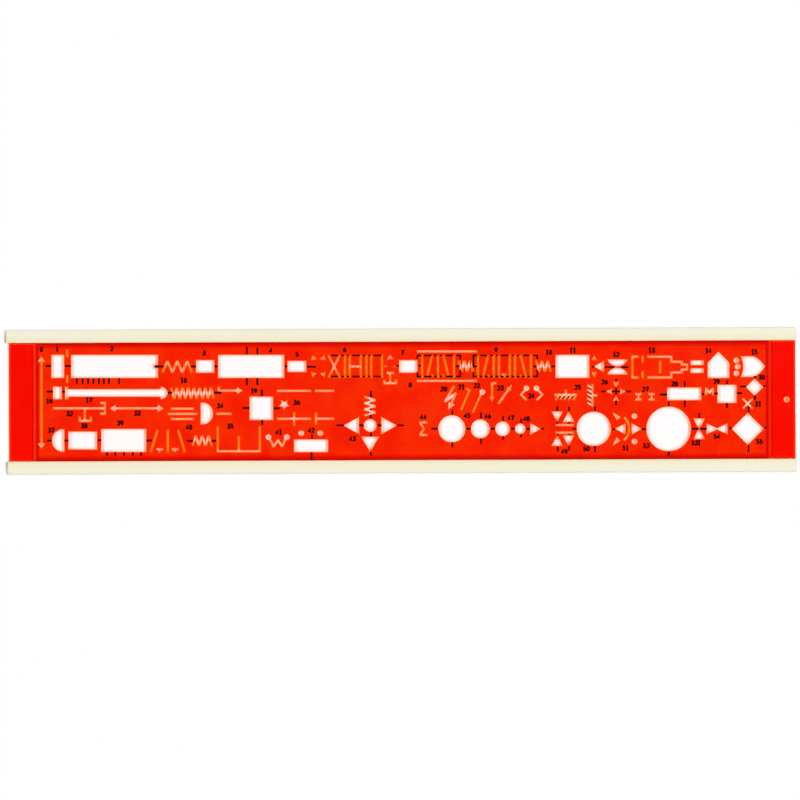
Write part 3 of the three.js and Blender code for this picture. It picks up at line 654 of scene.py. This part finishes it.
def printed_frames(material):
    """Dashed frames round the valve ladders."""
    bm = bmesh.new()
    for start, end in LADDER_DASHES + SHORT_FRAME_DASHES:
        add_bar(bm, (start, VALVE_TOP), (end, VALVE_TOP), DASH_WIDTH)
        add_bar(bm, (start, VALVE_BOTTOM), (end, VALVE_BOTTOM), DASH_WIDTH)
    for start, end in LONG_FRAME_DASHES:
        add_bar(bm, (start, VALVE_TOP), (end, VALVE_TOP), DASH_WIDTH)
    stitch = LONG_FRAME_STITCHES
    for i in range(stitch["count"]):
        start = stitch["first"] + i * stitch["pitch"]
        add_bar(bm, (start, VALVE_BOTTOM), (start + stitch["length"], VALVE_BOTTOM), DASH_WIDTH)
    for start, end in (LONG_FRAME_DASHES[0], LONG_FRAME_DASHES[-1]):
        add_bar(bm, (start, VALVE_BOTTOM), (end, VALVE_BOTTOM), DASH_WIDTH)
    for x, spans in FRAME_SIDES.items():
        for start, end in spans:
            add_bar(bm, (x, start), (x, end), DASH_WIDTH)
    print_piece("printed_frames", bm, material)


def printed_hatching(material):
    """Strokes between the teeth of the ground marks."""
    bm = bmesh.new()
    for mark in GROUND_MARKS:
        turn = Matrix.Rotation(math.radians(mark["turn"]), 2)
        middle = Vector((mark["x"], mark["y"]))
        for i in range(HATCH_COUNT):
            root = (i - (HATCH_COUNT - 1) / 2) * HATCH_PITCH
            start = middle + turn @ Vector((root + HATCH_LEAN / 2, HATCH_TOP))
            end = middle + turn @ Vector((root - HATCH_LEAN / 2, HATCH_BOTTOM))
            add_bar(bm, start, end, HATCH_WIDTH)
    print_piece("printed_hatching", bm, material)


def printed_numbers(material):
    """The number beside each cut-out."""
    bm = bmesh.new()
    strokes = digit_strokes()
    for number, (x, y) in NUMBERS.items():
        digits = str(number)
        for i, digit in enumerate(digits):
            left = x + (i - (len(digits) - 1) / 2) * DIGIT_ADVANCE - DIGIT_WIDTH / 2
            low = y - DIGIT_HEIGHT / 2
            for stroke in strokes[digit]:
                points = [(left + u * DIGIT_WIDTH, low + v * DIGIT_HEIGHT) for u, v in stroke]
                add_stroke(bm, points, DIGIT_STROKE * DIGIT_WEIGHT.get(digit, 1))
    print_piece("printed_numbers", bm, material)


# Studio


def floor():
    """The white floor that the template lies on."""
    bm = bmesh.new()
    bmesh.ops.create_grid(bm, x_segments=1, y_segments=1, size=FLOOR_SIZE / 2)
    mesh = bpy.data.meshes.new("floor")
    bm.to_mesh(mesh)
    bm.free()
    mesh.materials.append(floor_white())
    ground = bpy.data.objects.new("floor", mesh)
    ground.location.z = -FLOOR_DROP
    bpy.context.scene.collection.objects.link(ground)


def lamp(name, x, y, power):
    """A flat lamp high over the floor, facing down."""
    light = bpy.data.lights.new(name, "AREA")
    light.shape = "RECTANGLE"
    light.size = LAMP_WIDTH
    light.size_y = LAMP_LENGTH
    light.energy = power
    holder = bpy.data.objects.new(name, light)
    holder.location = (x, y, LAMP_HEIGHT)
    holder.visible_camera = False
    bpy.context.scene.collection.objects.link(holder)


def sky():
    """A low glow all round, dark overhead: weak as light, full in a gloss, white to the camera."""
    world = bpy.data.worlds.new("sky")
    bpy.context.scene.world = world
    world.use_nodes = True
    tree = world.node_tree
    upward = coordinate(tree, "Generated", "Z")
    glow = remap(tree, upward, SKY_BRIGHT_BELOW, SKY_DARK_ABOVE, SKY_STRENGTH, 0)
    path = add_node(tree, "ShaderNodeLightPath")
    strength = calculate(tree, "MULTIPLY", glow, SKY_FILL)
    strength = blend(tree, path.outputs["Is Glossy Ray"], strength, glow, "FLOAT")
    strength = blend(tree, path.outputs["Is Camera Ray"], strength, 1, "FLOAT")
    background = tree.nodes["Background"]
    feed(tree, background.inputs["Strength"], strength)
    background.inputs["Color"].default_value = SKY_WHITE


def camera():
    """A camera straight over the template, turned with the pattern."""
    lens = bpy.data.cameras.new("camera")
    lens.sensor_width = SENSOR_WIDTH
    lens.lens = SENSOR_WIDTH * (CAMERA_HEIGHT - FIELD_TOP) / FRAME_WIDTH
    lens.clip_end = CAMERA_REACH
    holder = bpy.data.objects.new("camera", lens)
    middle = Matrix.Rotation(PATTERN_SKEW, 2) @ FRAME_CENTRE
    holder.location = (middle.x, middle.y, CAMERA_HEIGHT)
    holder.rotation_euler = (0, 0, PATTERN_SKEW)
    bpy.context.scene.collection.objects.link(holder)
    bpy.context.scene.camera = holder


# The scene

camera()
floor()
for y in (-LAMP_ALONG, LAMP_ALONG):
    lamp("left_lamp", LAMP_LEFT, y, LAMP_POWER_LEFT)
    lamp("right_lamp", LAMP_RIGHT, y, LAMP_POWER_RIGHT)
sky()
bpy.context.scene.view_settings.view_transform = "Standard"

soften_edges(dress("symbol_plate", plate_plastic(), rim_plastic()), RIM_WIDTH, RIM_MATERIAL)
cream = rail_plastic()
soften_edges(dress("upper_edge_rail", cream), RAIL_EDGE_WIDTH)
soften_edges(dress("lower_edge_rail", cream), RAIL_EDGE_WIDTH)

black = ink()
printed_ticks(black)
printed_frames(black)
printed_hatching(black)
printed_numbers(black)
